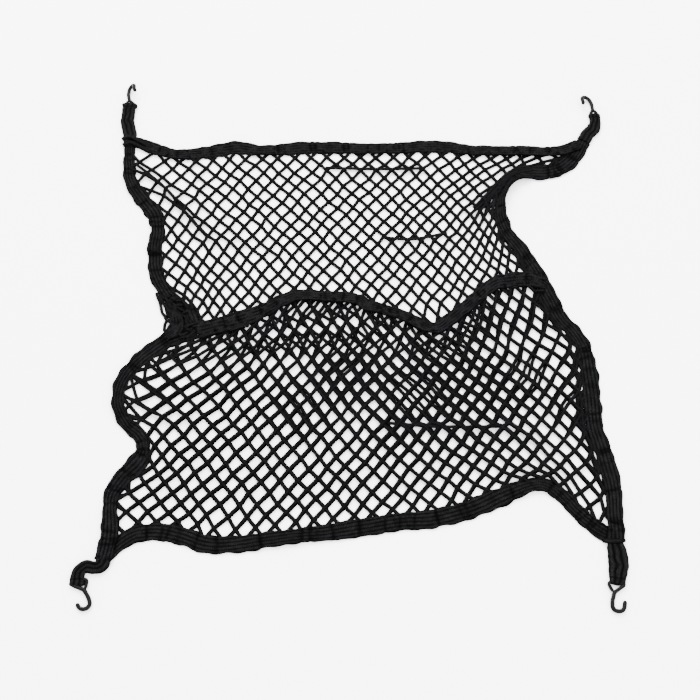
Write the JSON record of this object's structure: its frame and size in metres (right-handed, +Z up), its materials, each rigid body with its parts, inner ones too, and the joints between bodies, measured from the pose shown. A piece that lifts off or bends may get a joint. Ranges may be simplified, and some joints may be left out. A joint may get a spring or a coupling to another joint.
{
  "type": "cargo net",
  "caption": "Black knitted envelope net for a car boot, lying slack and flat: elastic bands around two meshed layers, a wide pocket, folded corner straps and bent wire hooks.",
  "frame": {"origin": "middle of the outline, on the surface that the net lies on", "axes": "+Z up from the surface, +Y from the pocket's bottom band towards the plain top band, +X towards the side with the deep fold"},
  "size_m": [0.6393, 0.7327, 0.0126],
  "materials": {
    "black_band": "matt black knitted elastic, ribbed along its length",
    "black_cord": "matt black knitted cord",
    "black_wire": "satin black coated steel wire"
  },
  "bodies": {
    "root": {"back_net": "black_cord", "front_net": "black_cord", "top_band": "black_band", "left_band": "black_band", "right_band": "black_band", "bottom_band": "black_band", "mouth_band": "black_band", "strap_top_left": "black_band", "strap_top_right": "black_band", "strap_bottom_left": "black_band", "strap_bottom_right": "black_band", "hook_top_left": "black_wire", "hook_top_right": "black_wire", "hook_bottom_left": "black_wire", "hook_bottom_right": "black_wire"}
  },
  "joints": []
}
